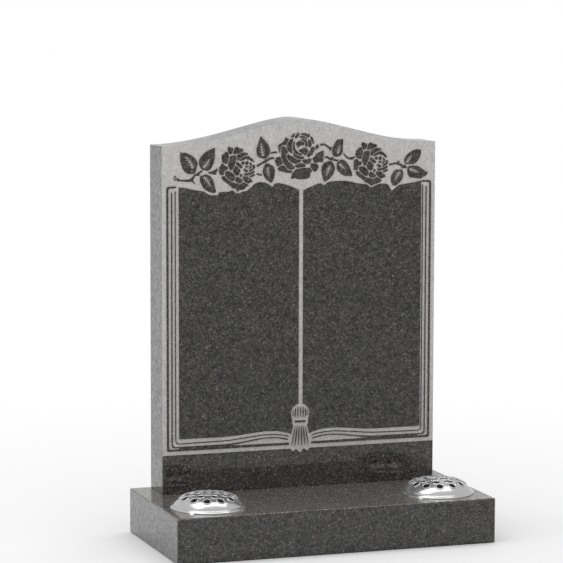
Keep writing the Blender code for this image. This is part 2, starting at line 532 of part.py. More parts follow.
def lid(name, side, turn, collection, cutters, surface):
    """A domed lid with a stepped rim, drilled square to the dome in rings of four, eight and twelve holes."""
    outer = [(r * lid_radius, z * LID_HEIGHT) for r, z in LID_PROFILE]
    inner = []
    for before, (r, z), after in zip(outer, outer[1:], outer[2:]):
        dr, dz = after[0] - before[0], after[1] - before[1]
        length = math.hypot(dr, dz)
        inner.append((r - dz / length * LID_WALL, z + dr / length * LID_WALL))
    # The steps near the rim are on the outer face only
    rim = lid_radius - LID_WALL
    inner = [(rim, 0), (rim, inner[0][1]), *inner[3:], (0, LID_HEIGHT - LID_WALL)]
    profile = inner[::-1] + outer
    foot = BASE_HEIGHT + GAP
    obj = lathe(name, profile, socket(side), foot, 32, collection, surface)
    form = bmesh.new()
    hole = LID_HOLE / 2
    for number, share, start in HOLE_RINGS:
        height, slope = dome_at(share)
        for i in range(number):
            made = bmesh.ops.create_cone(
                form, cap_ends=True, segments=6, radius1=hole, radius2=hole, depth=LID_WALL * 8
            )
            angle = math.radians(turn + start) + math.tau * i / number
            stand = Matrix.Translation((share * lid_radius, 0, height)) @ Matrix.Rotation(slope, 4, "Y")
            bmesh.ops.transform(form, verts=made["verts"], matrix=Matrix.Rotation(angle, 4, "Z") @ stand)
    mesh = bpy.data.meshes.new(name + "_holes")
    form.to_mesh(mesh)
    form.free()
    cutter = place(name + "_holes", mesh, cutters)
    cutter.location = obj.location
    subtract(obj, cutter)


def pot(name, side, collection, surface):
    """A thin cup that hangs in the base's socket by its flange."""
    depth = BASE_HEIGHT - POT_GROUND_GAP
    top = POT_WALL
    corner = POT_WALL * 2
    profile = (
        (0, -depth),
        (pot_radius - corner, -depth),
        (pot_radius, -depth + corner),
        (pot_radius, 0),
        (flange_radius, 0),
        (flange_radius, top),
        (pot_radius - POT_WALL, top),
        (pot_radius - POT_WALL, -depth + corner),
        (pot_radius - corner - POT_WALL * 0.4, -depth + POT_WALL),
        (0, -depth + POT_WALL),
    )
    lathe(name, profile, socket(side), BASE_HEIGHT + GAP, 32, collection, surface)


def build():
    clear_scene()
    pieces = new_collection("open_book_headstone")
    cutters = new_collection("cutters")
    cutters.hide_render = True

    granite = material("granite_tablet", (0.062, 0.060, 0.058), 0.22)
    mesh = slab("headstone", [ogee(20)], tablet_front, tablet_back)
    join_caps(mesh)
    headstone = place("headstone", mesh, pieces, granite)
    bevel_edges(headstone, ARRIS)
    reach = TABLET_DEPTH * 0.2
    for name, shapes in (("carving", [field()] + drawing()), ("veins", openings())):
        outlines = [spread(shape) for shape in shapes]
        carving = slab(name, outlines, tablet_front - reach, tablet_front + CARVE_DEPTH)
        subtract(headstone, place(name, carving, cutters))

    dark = material("granite_base", (0.070, 0.068, 0.066), 0.22)
    form = bmesh.new()
    bmesh.ops.create_cube(form, size=1.0)
    for vert in form.verts:
        x, y, z = vert.co
        vert.co = (x * BASE_WIDTH, y * BASE_DEPTH, (z + 0.5) * BASE_HEIGHT)
    mesh = bpy.data.meshes.new("base")
    form.to_mesh(mesh)
    form.free()
    base = place("base", mesh, pieces, dark)
    bevel_edges(base, ARRIS)
    form = bmesh.new()
    wide = socket_radius
    for side in (-1, 1):
        made = bmesh.ops.create_cone(
            form, cap_ends=True, segments=32, radius1=wide, radius2=wide, depth=BASE_HEIGHT * 1.5
        )
        bmesh.ops.translate(form, verts=made["verts"], vec=(*socket(side), BASE_HEIGHT / 2))
    mesh = bpy.data.meshes.new("sockets")
    form.to_mesh(mesh)
    form.free()
    subtract(base, place("sockets", mesh, cutters))

    chrome = material("chromed_metal", (0.78, 0.78, 0.78), 0.12, 1.0)
    cup = material("pot_metal", (0.55, 0.55, 0.56), 0.4, 1.0)
    for side, word, turn in ((-1, "left", LEFT_LID_TURN), (1, "right", 0)):
        pot("flower_pot_" + word, side, pieces, cup)
        lid("flower_lid_" + word, side, turn, pieces, cutters, chrome)


build()
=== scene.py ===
"""Looks of the open book headstone: polished and frosted granite, bright lids over the pots, and the studio.

The carving is drawn in units of about a millimetre, x from its middle and z from the tablet's foot.
"""

import math

import bmesh
import bpy
from mathutils import Matrix, Vector


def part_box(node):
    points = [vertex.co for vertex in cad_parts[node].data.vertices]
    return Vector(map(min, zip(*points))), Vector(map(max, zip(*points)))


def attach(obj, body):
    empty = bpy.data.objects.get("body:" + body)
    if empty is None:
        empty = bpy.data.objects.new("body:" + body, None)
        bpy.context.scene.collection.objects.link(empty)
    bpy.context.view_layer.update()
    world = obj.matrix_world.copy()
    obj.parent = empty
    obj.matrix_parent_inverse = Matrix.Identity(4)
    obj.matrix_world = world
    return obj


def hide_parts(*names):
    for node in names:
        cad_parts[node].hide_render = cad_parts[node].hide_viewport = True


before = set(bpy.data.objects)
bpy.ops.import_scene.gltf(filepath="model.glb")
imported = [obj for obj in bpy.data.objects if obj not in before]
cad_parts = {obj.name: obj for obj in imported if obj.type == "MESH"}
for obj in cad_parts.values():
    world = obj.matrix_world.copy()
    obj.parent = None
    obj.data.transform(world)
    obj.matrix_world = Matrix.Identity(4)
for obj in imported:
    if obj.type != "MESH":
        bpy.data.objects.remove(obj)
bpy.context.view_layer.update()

# Places and sizes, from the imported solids
tablet_low, tablet_high = (Vector(corner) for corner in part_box("headstone"))
base_low, base_high = (Vector(corner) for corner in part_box("base"))
FRONT = tablet_low.y
FOOT = tablet_low.z
HALF_WIDTH = (tablet_high.x - tablet_low.x) / 2
MIDDLE = (tablet_high.x + tablet_low.x) / 2
TABLET_HEIGHT = tablet_high.z - tablet_low.z
TABLET_DEPTH = tablet_high.y - tablet_low.y

# Sizes that the solids share with this script
SHOULDER_DROP = 0.0468
ARRIS = 0.0018
CARVE_DEPTH = 0.0015
PANEL_HEIGHT = 0.0726
BOOK_MARGIN = 0.0082
LID_WALL = 0.0015
LID_HOLE = 0.012
POT_WALL = 0.0014
POT_FLANGE = 0.007

# The flat collar round a lid's hole: its section's half width, height against width, and gap to the hole
COLLAR_HALF = 0.0012
COLLAR_FLATNESS = 0.85
COLLAR_GAP = 0.00005

# The drawing's half width, foot and top, which fit the tablet's frosted field
DRAWN_HALF = 260.3
DRAWN_FOOT = 72.6
DRAWN_TOP = 689.0
# The turn at which outlines are filled, as points that share a height would leave gaps in the fill
FILL_SLANT = 0.31

# Two places closer than this are the same
SAME = 1e-5


# Selecting and editing

def pick(obj):
    """Selects one object alone and makes it active."""
    bpy.ops.object.select_all(action="DESELECT")
    obj.select_set(True)
    bpy.context.view_layer.objects.active = obj


def open_mesh(obj):
    """Edit mode on one object, with nothing of it selected."""
    pick(obj)
    bpy.ops.object.mode_set(mode="EDIT")
    bpy.ops.mesh.select_all(action="DESELECT")
    return bmesh.from_edit_mesh(obj.data)


def close_mesh(obj):
    bmesh.update_edit_mesh(obj.data)
    bpy.ops.object.mode_set(mode="OBJECT")


def choose(form, kind, test):
    """Selects the faces or edges that pass a test."""
    bpy.ops.mesh.select_mode(type={"faces": "FACE", "edges": "EDGE"}[kind])
    for item in getattr(form, kind):
        item.select_set(bool(test(item)))
    form.select_flush_mode()


def settle(obj):
    """Puts the object at the origin with its place in its mesh."""
    pick(obj)
    bpy.ops.object.transform_apply(location=True, rotation=True, scale=True)


def face_outwards(obj):
    """Merges doubled points and turns every face outwards."""
    open_mesh(obj)
    bpy.ops.mesh.select_all(action="SELECT")
    bpy.ops.mesh.remove_doubles(threshold=SAME / 2)
    bpy.ops.mesh.normals_make_consistent(inside=False)
    bpy.ops.object.mode_set(mode="OBJECT")


def joined(tools):
    """Several objects as one, with its place in its mesh."""
    bpy.ops.object.select_all(action="DESELECT")
    for tool in tools:
        tool.select_set(True)
    bpy.context.view_layer.objects.active = tools[0]
    bpy.ops.object.join()
    settle(tools[0])
    return tools[0]


def combine(obj, tool, operation):
    """Joins a tool to a piece or cuts it away, and removes the tool."""
    made = obj.modifiers.new("combine", "BOOLEAN")
    made.operation = operation
    made.solver = "EXACT"
    made.object = tool
    pick(obj)
    bpy.ops.object.modifier_apply(modifier=made.name)
    bpy.data.objects.remove(tool, do_unlink=True)


# Drawing the carving

def spread(points):
    """Drawing units to metres on the tablet's face."""
    across = (HALF_WIDTH - BOOK_MARGIN) / DRAWN_HALF
    up = (TABLET_HEIGHT - PANEL_HEIGHT) / (DRAWN_TOP - DRAWN_FOOT)
    return [(MIDDLE + x * across, FOOT + PANEL_HEIGHT + (z - DRAWN_FOOT) * up) for x, z in points]


def moved(points, x, z):
    return [(px + x, pz + z) for px, pz in points]


def mirrored(points):
    return [(-x, z) for x, z in points]


def between(start, end, share):
    """The point a share of the way from one point to another."""
    return tuple(start[n] + (end[n] - start[n]) * share for n in (0, 1))


def stretches(points):
    """The straight stretches of a closed outline, each as its start and end."""
    return zip(points, points[1:] + points[:1])


def rounded(before, corner, after, steps=4):
    """A round stretch in the place of a corner."""
    out = []
    for i in range(steps + 1):
        t = i / steps
        a, b, c = (1 - t) ** 2, 2 * t * (1 - t), t * t
        out.append(tuple(a * before[n] + b * corner[n] + c * after[n] for n in (0, 1)))
    return out


def soften(points, reach, steps=4):
    """Rounds each corner of a closed outline, from at most reach away."""
    out = []
    for i, corner in enumerate(points):
        ends = []
        for other in (points[i - 1], points[(i + 1) % len(points)]):
            length = math.dist(corner, other)
            ends.append(between(corner, other, min(reach, 0.42 * length) / length))
        out += rounded(ends[0], corner, ends[1], steps)
    return out


def smooth_line(points):
    """An open line through soft corners, both ends kept."""
    out = [points[0]]
    for before, corner, after in zip(points, points[1:], points[2:]):
        out += rounded(between(corner, before, 0.4), corner, between(corner, after, 0.4))
    return out + [points[-1]]


def sliver(x0, z0, x1, z1, bow, width, count=12):
    """A shape pointed at both ends, bowed towards +x by bow."""
    length = math.hypot(x1 - x0, z1 - z0)
    nx, nz = (z0 - z1) / length, (x1 - x0) / length
    sides = ([], [])
    for i in range(count + 1):
        t = i / count
        half = width / 2 * math.sin(math.pi * t) ** 0.6
        for side, points in zip((1, -1), sides):
            if 0 < i < count or side == 1:
                out = 4 * bow * t * (1 - t) + side * half
                points.append((x0 + (x1 - x0) * t + nx * out, z0 + (z1 - z0) * t + nz * out))
    return sides[0] + sides[1][::-1]


def oval(middle, reach, count):
    turns = [math.tau * i / count for i in range(count)]
    return [(middle[0] + reach[0] * math.cos(turn), middle[1] + reach[1] * math.sin(turn)) for turn in turns]


def divided(points, pitch):
    """A closed outline with points no further apart than pitch."""
    out = []
    for start, end in stretches(points):
        count = max(math.ceil(math.dist(start, end) / pitch), 1)
        out += [between(start, end, i / count) for i in range(count)]
    return out


def away_from(point, outline):
    """The distance from a point to a closed outline."""
    nearest = math.inf
    for start, end in stretches(outline):
        side = [end[n] - start[n] for n in (0, 1)]
        share = sum((point[n] - start[n]) * side[n] for n in (0, 1)) / (side[0] ** 2 + side[1] ** 2)
        nearest = min(nearest, math.dist(point, between(start, end, min(max(share, 0), 1))))
    return nearest


def outward_at(points):
    """The outward direction at each point of a closed outline."""
    turn = math.copysign(1, sum(x0 * z1 - x1 * z0 for (x0, z0), (x1, z1) in stretches(points)))
    out = []
    for before, after in zip(points[-1:] + points[:-1], points[1:] + points[:1]):
        length = math.dist(before, after)
        out.append(((after[1] - before[1]) / length * turn, (before[0] - after[0]) / length * turn))
    return out


def grown(shapes, others, gap=1.5, reach=1.9, free=0.5, pitch=2.2, near=6):
    """Shapes spread towards each other until the lines between them are as narrow as the gap.

    A point moves by at most reach, or by at most free where no other shape is near.
    """
    shapes = [divided(list(points), pitch) for points in shapes]
    others = [list(points) for points in others]
    out = []
    for i, points in enumerate(shapes):
        made = []
        for point, (nx, nz) in zip(points, outward_at(points)):
            room = min(away_from(point, other) for other in shapes[:i] + shapes[i + 1:] + others)
            by = min(reach if room < near else free, max(room - gap, 0) / 2)
            made.append((point[0] + nx * by, point[1] + nz * by))
        out.append(made)
    return out


def toothed(points, pitch=3.0, height=0.8, lean=0.72):
    """A leaf's outline with small teeth along its edge, each peak this share of the way to the next point."""
    points = divided(points, pitch)
    out = []
    for (start, end), (nx, nz) in zip(stretches(points), outward_at(points)):
        x, z = between(start, end, lean)
        out += [start, (x + nx * height, z + nz * height)]
    return out


def along(points, share):
    """The point a share along an open line, with the line's direction there."""
    pieces = list(zip(points, points[1:]))
    left = share * sum(math.dist(start, end) for start, end in pieces)
    for start, end in pieces:
        length = math.dist(start, end)
        if left <= length:
            break
        left -= length
    return between(start, end, left / length), ((end[0] - start[0]) / length, (end[1] - start[1]) / length)


def feathered(points):
    """The open middle of a leaf: a vein that thins to its tip, with side veins that point forwards."""
    spine = smooth_line(points)
    sides = []
    for side in (-1, 1):
        edge = []
        for root, reach in SIDE_VEINS:
            width = VEIN_WIDTH / 2 * (1.3 - root)
            for share, out in ((root - 0.035, width), (root + 0.17, reach), (root + 0.05, width * 0.8)):
                (x, z), (dx, dz) = along(spine, share)
                edge.append((x + dz * side * out, z - dx * side * out))
        sides.append(edge)
    return [spine[0], *sides[0], spine[-1], *sides[1][::-1]]


def stroke(points, width):
    """A drawn line of one width."""
    left, right = [], []
    for i, (x, z) in enumerate(points):
        before, after = points[max(i - 1, 0)], points[min(i + 1, len(points) - 1)]
        length = math.dist(before, after)
        nx = (after[1] - before[1]) / length * width / 2
        nz = (before[0] - after[0]) / length * width / 2
        left.append((x - nx, z - nz))
        right.append((x + nx, z + nz))
    return left + right[::-1]


# Petals of a side rose, from its own middle
SIDE_ROSE = (
    ((-17, 40), (-15, 40), (-7, 36), (-9, 30), (-12, 27), (-15, 27), (-16.5, 32)),
    ((0, 40), (4, 37), (12, 35), (11, 32), (6, 29), (-1, 28), (-4, 27), (-6.5, 28), (-3, 37)),
    ((-16.5, 30.5), (-23, 29), (-28, 25), (-29, 19), (-27.5, 13), (-19, 10), (-17, 14), (-15.8, 22),
     (-16.2, 27)),
    ((-12.5, 21), (-5.5, 23), (-2, 23.5), (-1.5, 18), (-3, 11), (-5.5, 5), (-9, -3), (-12, -2), (-15.5, 6),
     (-14, 14)),
    ((0.5, 23.5), (12, 28), (21.5, 26), (13, 22.5), (7, 19), (2.5, 14.5), (1, 17)),
    ((5.5, 13.5), (9.5, 19), (17.5, 22), (24.5, 20.5), (30.5, 16.5), (33, 12), (30.5, 13), (24.5, 17),
     (16.5, 18.5), (10, 15.5)),
    ((-29, 8.5), (-23.5, 5), (-17.5, 1.5), (-22, -2), (-26, -3), (-25, -7.5), (-27, -12), (-31.5, -10.5),
     (-33.5, -4), (-32, 3)),
    ((-1.5, 5), (4, 0.5), (5.5, -4), (4.5, -11), (0.5, -12), (-4.5, -8.5), (-7, -3.5), (-4.5, 1.5)),
    ((-0.5, 12), (4.5, 8.5), (10, 3), (8, 1), (2.5, 4), (-1, 8)),
    ((-22, -6), (-14, -6.5), (-6.5, -11.5), (-3, -17), (-4.5, -21.5), (-9, -22.5), (-16, -17), (-20.5, -11)),
    ((-1, -16), (4.5, -18), (10.5, -23), (6, -25.5), (0.5, -25), (-3, -22.5)),
    ((-28.5, -13.5), (-24.5, -14.5), (-19.5, -19.5), (-8, -27), (0.5, -29), (8, -30.5), (14, -27),
     (21.5, -32), (13, -37.5), (5, -38.5), (1.5, -41), (-1, -37), (-9, -34), (-16, -28.5), (-23.5, -23.5),
     (-28, -18.5)),
    ((13, -15), (19.5, -16), (23.5, -18), (30.5, -25), (23.5, -27), (16.5, -23.5), (12.5, -19)),
    ((14.5, -10.8), (22, -9.8), (28, -8), (33.5, -4), (33.2, -8.5), (27, -11.5), (20, -12.8), (15, -12.8)),
    ((25, -14), (34, -11), (34.3, -13), (26.5, -16.5)),
    ((6.5, -10), (10, -12), (9, -15), (6.5, -14.5)),
    ((30.5, 5.5), (33.5, 5), (34.3, 1), (32.5, -2.5), (28.5, -5), (24, -5.8), (24, -4.3), (28, -3),
     (31, -0.5), (31.6, 2), (30, 3.5)),
    ((17.5, 7), (18.3, 11.5), (21.5, 12), (22, 8.5), (20, 6.5)),
    ((9, 9.5), (11.5, 11.8), (14, 11.5), (13, 8)),
    ((25, 9.7), (28.6, 8), (28.9, 3.5), (27, 0.8), (23.8, -1.2), (23.8, 0.4), (26, 2.3), (27.2, 4.5),
     (26.8, 7), (24.8, 8.3)),
    ((16.5, 2), (19.5, 4.3), (23, 4), (22.8, 2.6), (20, 2.5), (18, 0.6)),
    ((14, -3), (16, -0.8), (18, -3.3), (21.5, -4.6), (20, -6.8), (16, -6.2)),
)

# The middles of the side roses
ROSE_MIDDLES = ((-125, 599.8), (137.4, 602.9))

# Petals of the middle rose
MIDDLE_ROSE = (
    ((-19.2, 581.4), (-16.6, 586.6), (-10.6, 592.6), (-5.6, 595.2), (-0.6, 596.2), (7.4, 596.6),
     (15.9, 597.1), (20.9, 593.9), (18, 586.6), (17.1, 580.1), (9.4, 577.6), (-0.6, 577), (-7.6, 578.3),
     (-12.3, 580.1), (-16.6, 578.3), (-19.2, 578.9)),
    ((-44.3, 597.1), (-41.6, 600.6), (-36.6, 602.1), (-31.6, 601.6), (-29.2, 596.6), (-25.6, 592.6),
     (-17.3, 591.6), (-24.2, 589.6), (-30.6, 590.2), (-36.6, 592.6), (-43, 593.9)),
    ((-47.6, 617.6), (-40.6, 618.6), (-39.2, 614), (-36.6, 606.6), (-41.6, 605.2), (-44.9, 602.1),
     (-48.6, 606.6), (-49.9, 611.6)),
    ((-37.6, 638.6), (-33.6, 637.1), (-29.2, 632.6), (-25.6, 627.6), (-28.5, 625.2), (-29.6, 621.6),
     (-28.7, 616.5), (-24.5, 609), (-18.5, 603.8), (-11.5, 598.4), (-17.9, 596.4), (-25.6, 598.3),
     (-30.6, 603.9), (-35.6, 611.6), (-37.6, 619), (-36.6, 626.6), (-38.6, 631.6)),
    ((-29.6, 655.9), (-28, 652.6), (-23.6, 651.6), (-26.6, 646.6), (-29.6, 641.6), (-34.2, 642.6),
     (-38, 640.6), (-39.9, 636.6), (-41.6, 627.6), (-43, 635.3), (-42.4, 640.9), (-36.6, 644), (-33, 649.1)),
    ((-22.3, 649.6), (-15.4, 651.6), (-17.9, 645.3), (-19.2, 637.6), (-17.9, 630.3), (-16.6, 625.2),
     (-21.6, 629), (-25.6, 634), (-27.3, 639), (-25.6, 645.3)),
    ((-12.9, 647.6), (-14.2, 639), (-12.3, 631.6), (-5.4, 625.2), (2.1, 622.1), (-2.9, 620.9),
     (-10.4, 625.2), (-15.4, 632.6), (-16.1, 641.6)),
    ((-14.6, 627.6), (-10.4, 623.4), (-2.9, 619.6), (5.9, 616.6), (-0.6, 615.2), (-7.9, 616.6),
     (-14.2, 622.6)),
    ((-26.6, 624), (-20.4, 620.2), (-14.2, 615.2), (-5.4, 612.6), (0.9, 611.6), (-5.4, 607.6),
     (-11.6, 607.1), (-19.2, 610.2), (-25.6, 615.2), (-27.3, 620.2)),
    ((2.1, 611.6), (9.4, 612.6), (19.7, 614), (17.1, 608.3), (12.1, 606.4), (7.1, 608.3)),
    ((-11.6, 601.6), (-2.9, 605.2), (2.1, 605.4), (8.4, 602.1), (0.9, 600.2), (-5.4, 599.6), (-10.4, 600.2)),
    ((19, 604.6), (28.4, 603.9), (34.7, 601.6), (32.8, 595.2), (28.4, 590.6), (24.6, 593), (20.3, 598.3)),
    ((44.7, 629), (43.4, 620.2), (42.2, 609), (32.2, 608.3), (25.9, 609), (24, 615.2), (29.7, 622.6),
     (37.2, 626.6)),
    ((25.9, 635.3), (25.4, 629), (22.2, 622.6), (15.9, 619), (12.8, 620.2), (18.4, 629), (22.2, 635.3)),
    ((28.4, 636.6), (34.1, 640.3), (34.1, 635.3), (30.9, 632.1)),
    ((-2.9, 630.9), (5.9, 634.6), (11.4, 633.4), (12.8, 627.6), (9, 622.1), (3.4, 625.2)),
    ((-8.6, 642.6), (-5.4, 646.6), (0.9, 647.6), (5.9, 644), (4.4, 640.9), (-1.6, 639.6), (-6, 635.9)),
    ((-2.9, 655.3), (4.4, 656.6), (9.4, 654.1), (12.1, 650.3), (7.1, 653.4), (0.9, 654.1)),
    ((-1.6, 660.3), (7.1, 661), (17.1, 659.1), (15.9, 654.1), (12.1, 655.9), (5.9, 658.6)),
    ((-18.6, 656.6), (-14.2, 662.2), (-12.9, 659.1), (-16.1, 654.6)),
    ((-11, 655.9), (-6.6, 661), (-5.4, 662.6), (-2.3, 660.6), (-5.4, 657.2), (-10.4, 654.1)),
    ((18.4, 655.9), (23.4, 651.6), (25.9, 642.6), (24, 644), (20.4, 651.6)),
    ((14, 650.9), (18.4, 646.6), (19.7, 640.3), (16.4, 636.6), (15.4, 644)),
    ((0.4, 650.8), (4.6, 652.3), (8.8, 649.5), (11.4, 643.6), (11.6, 636), (10, 637.2), (9.2, 643),
     (7.2, 647.6), (4.2, 649.8), (1, 649.4)),
)

# Leaves, each from its tip or its stalk round to it again
LEAVES = (
    ((-233.5, 632.5), (-231, 630), (-225, 630.8), (-219, 629), (-211, 624.5), (-203.5, 618.5),
     (-200.8, 612), (-201.2, 605), (-203.3, 598), (-206.5, 592), (-212, 592.2), (-218.5, 591.9),
     (-224.5, 596), (-229.7, 604), (-232, 612), (-233.4, 620), (-232.8, 627)),
    ((-166.5, 639), (-172, 636.5), (-178, 634.6), (-184.5, 631.2), (-190, 626.5), (-196, 619.5),
     (-198, 614), (-197, 608), (-194.5, 602.5), (-191, 599.2), (-184, 597.3), (-178.5, 597.2),
     (-174.5, 601), (-170.5, 609), (-167.8, 618), (-167.2, 626), (-167.6, 633)),
    ((-195.5, 586.8), (-191, 587.6), (-187.5, 589.2), (-181, 589.3), (-176.8, 586.8), (-173, 583),
     (-169.8, 576), (-167.5, 567), (-164.5, 556.5), (-170, 556), (-177, 558), (-184, 561), (-190, 567),
     (-194, 574.5), (-195.7, 580)),
    ((-78.5, 658.5), (-74, 653), (-69, 648), (-63.5, 641), (-60.5, 635), (-60.3, 629), (-61.8, 623.5),
     (-66, 618.5), (-71, 616.8), (-78, 618), (-82.5, 619.8), (-85.5, 624), (-86.8, 632), (-85.5, 639),
     (-82, 648), (-80, 655)),
    ((-67, 608.3), (-60.5, 605.8), (-54, 601.8), (-51.5, 596), (-51, 590), (-52.5, 583), (-54.8, 576.5),
     (-57.5, 571.8), (-63, 575), (-68.5, 579.5), (-72.5, 585.5), (-74.8, 592), (-73.2, 599.5), (-70.5, 605)),
    ((83, 650.3), (77, 649.2), (72, 649), (68, 645), (64.3, 638), (61.8, 630), (61.8, 622.5), (65.5, 618.3),
     (70, 617.3), (75, 618), (80, 621.5), (82.4, 628), (82.3, 636), (83, 643)),
    ((57.3, 609.3), (52, 608.3), (46.5, 606.6), (42, 601), (40.3, 595), (41.3, 587), (43.3, 578),
     (46.5, 570.8), (50, 573.3), (55, 575.8), (61, 581.5), (65, 588), (67.3, 596), (64.8, 603),
     (60.8, 608.3)),
    ((101.8, 580.5), (92, 581.1), (85.5, 581.4), (79, 586), (73, 591.2), (70.6, 597), (71, 602),
     (72, 606.9), (76, 609.6), (81, 611.8), (86, 609.8), (91.5, 604.5), (96.3, 597), (99.8, 588.5)),
    ((239.3, 626.3), (234, 627.3), (228, 627.2), (221, 624.5), (213, 620), (207, 613.5), (205.2, 608.5),
     (206.3, 603.8), (209.3, 600.6), (216, 600.8), (226, 600.5), (231, 605), (235.5, 610.8), (238.5, 618.5)),
    ((253.5, 583.5), (248, 585.5), (241, 591.5), (234, 595.6), (226, 597), (216, 596.9), (212.6, 593.4),
     (211.5, 587), (213.5, 580), (217.5, 575.3), (224, 575), (232, 573.2), (239, 572.8), (245.5, 576.8),
     (250.5, 579.3)),
    ((200.3, 590.8), (196, 588.8), (192, 591), (185.5, 588.3), (181.5, 583), (178.5, 576), (179.3, 569),
     (181, 563.5), (185, 560.4), (190, 561.5), (197, 567), (202, 574), (203.4, 581), (202.6, 587)),
)

# The open vein in each leaf, from stalk to tip, and its width
VEIN_WIDTH = 2.4
VEINS = (
    ((-209.3, 601), (-212.5, 611), (-218, 618.5), (-228.5, 627)),
    ((-190, 602.5), (-184, 607.5), (-179.5, 614), (-176, 622.5)),
    ((-188.5, 586), (-182, 579.5), (-177, 572), (-173.3, 563.5)),
    ((-73, 621), (-76, 630), (-77.2, 640), (-77, 651)),
    ((-64.5, 601), (-65, 594), (-62.5, 586), (-60.5, 578.5)),
    ((72, 622.5), (74.5, 629), (76, 637), (76.8, 643.5)),
    ((57.5, 601), (54.5, 594), (51.5, 586), (48.8, 578.5)),
    ((75, 604.5), (80, 600), (86, 595.5), (91, 591)),
    ((210.5, 603), (214, 608), (217.5, 613), (222.5, 619.5)),
    ((215.5, 591.5), (223, 589.3), (231, 586), (238.5, 581.5)),
    ((197.5, 586.5), (191.5, 579.5), (187.5, 573), (184.8, 566)),
)
# Side veins: where each starts, as a share of the vein, and how far it reaches
SIDE_VEINS = ((0.06, 5.5), (0.22, 7.5), (0.38, 7.0), (0.54, 5.6), (0.70, 3.6))

# Stems with their thorns, and the two-pronged leaf stalk
STEMS = (
    ((-239.5, 584.4), (-237, 582.8), (-234, 581.6), (-228, 581), (-221, 581), (-216, 581.8),
     (-212.5, 583.5), (-209.5, 586.8), (-206.5, 589.8), (-203.8, 591.2), (-199, 594), (-195.5, 596.2),
     (-192.3, 598), (-190.6, 597.2), (-191.5, 595.6), (-195, 593.3), (-198, 590.8), (-196.5, 589.2),
     (-198.8, 587.4), (-201, 589), (-203.5, 588.6), (-206, 586.2), (-209, 581.4), (-208, 577.5),
     (-204.3, 572.8), (-207.5, 574.6), (-210.5, 577), (-214, 577.8), (-221, 578), (-228, 578.6),
     (-234, 579.2), (-239.5, 579.3)),
    ((-180.8, 592.9), (-176, 594.6), (-171, 596), (-166.5, 598), (-162.8, 600.8), (-161.6, 600),
     (-163, 596), (-165.3, 593), (-164.3, 590.2), (-168, 589.6), (-172.5, 590.8), (-177, 591.9)),
    ((-86.3, 604.3), (-83, 606.8), (-78, 609.2), (-73.5, 611.8), (-71.3, 613.4), (-70.9, 615.7),
     (-69.2, 615.6), (-68.5, 614), (-64.5, 616.6), (-60, 618.6), (-54, 619), (-51.3, 617.8), (-52, 615.8),
     (-58, 615.5), (-62.5, 613.8), (-67, 611.2), (-68.6, 609.3), (-74.5, 607.6), (-79, 605.3), (-83, 602.7),
     (-86, 602.3)),
    ((-58.6, 626), (-57.5, 628.4), (-52, 629.4), (-46.6, 628.6), (-46.8, 626.6), (-52, 626.7),
     (-57.5, 625.4)),
    ((-86.3, 589.3), (-84, 590), (-80, 588.3), (-76.3, 587.6), (-76, 585.9), (-80, 586), (-84.5, 587),
     (-86.4, 588)),
    ((37.2, 639), (38.5, 641.3), (43, 642.2), (48, 641.2), (52.5, 638), (56, 635.6), (59.5, 635),
     (62, 634.6), (61.6, 633.2), (58.5, 632.9), (59.8, 628.3), (58.6, 627.8), (56, 631.5), (53.3, 634.2),
     (50.5, 636.6), (46.5, 638.6), (43, 639.4), (39.5, 638.6)),
    ((46.6, 616), (48, 618.3), (50.5, 618.9), (54.5, 616.7), (58.5, 615.2), (61.5, 616.3), (63.2, 617.3),
     (64.2, 616), (62.6, 614.3), (66, 612.9), (71, 611.5), (74.5, 611.8), (74.8, 610.3), (70.5, 608.9),
     (66, 610), (61.5, 610.8), (57.5, 611.6), (52.5, 614.5), (49.5, 616), (47.8, 615.3)),
    ((83.9, 623.6), (85.3, 622.8), (88.5, 618.8), (92.5, 616), (97, 614.6), (103, 616.2), (106.8, 616.6),
     (107, 614.6), (101.5, 613), (103, 611.2), (101.8, 610.6), (98.6, 611.9), (95.5, 611.7), (90.5, 614),
     (87, 617.8), (84, 622)),
    ((174.6, 599.3), (174.6, 601.5), (180, 602.3), (186, 603.6), (191, 603.8), (192.8, 605.3),
     (194.6, 607.2), (195.6, 606.2), (195.3, 602.4), (200, 600.6), (204, 597.6), (206.4, 599.8), (207, 601),
     (208.2, 599.4), (207.6, 596.6), (210.8, 595.2), (210.3, 593), (206, 593.6), (203.3, 593.3),
     (201.6, 592.2), (200, 592.8), (201.5, 595), (198, 597.4), (193.5, 599.8), (189, 600.7), (183, 600.3),
     (178, 599.2)),
)
# The cut end of the left stem: middle, and how far it and its frosted middle reach across and up
CUT_END = ((-243.6, 584.3), (2.9, 4.8), (1.2, 3.0))

# The upper edges of the pages, from the gutter outwards, cut short by the flowers
LEFT_TOP = (
    (-3.3, 556.8), (-15.5, 563), (-31, 568.5), (-43, 571), (-51.3, 570.3), (-55.5, 563.8), (-58.5, 566),
    (-64, 569.7), (-71, 572.8), (-81, 573.8), (-89.5, 571.5), (-96, 565.5), (-101, 561.5), (-106, 558),
    (-114, 556.8), (-120, 554.2), (-127, 554.4), (-133, 560.5), (-141.5, 557.3), (-158.8, 557),
    (-161.5, 551.5), (-175.5, 551.8), (-182, 554.5), (-188.5, 559), (-202, 561.4), (-217, 564.5),
    (-226, 566.5), (-236.7, 568),
)
RIGHT_TOP = (
    (4.5, 556.3), (16.5, 561.5), (30, 567), (39.5, 569.2), (43.5, 565.2), (46.5, 565), (51, 568.8),
    (57, 571.3), (70, 572.3), (88, 572), (100, 569.6), (110, 567.3), (121, 565.5), (131.5, 564.3),
    (137, 559), (141.5, 558.8), (148.5, 562.3), (157, 565.3), (166, 564.8), (173.5, 563.3), (177.3, 556),
    (179.5, 552), (183, 552.3), (190.5, 558.8), (198, 562.3), (211, 564), (226, 565.8), (240.3, 569),
)

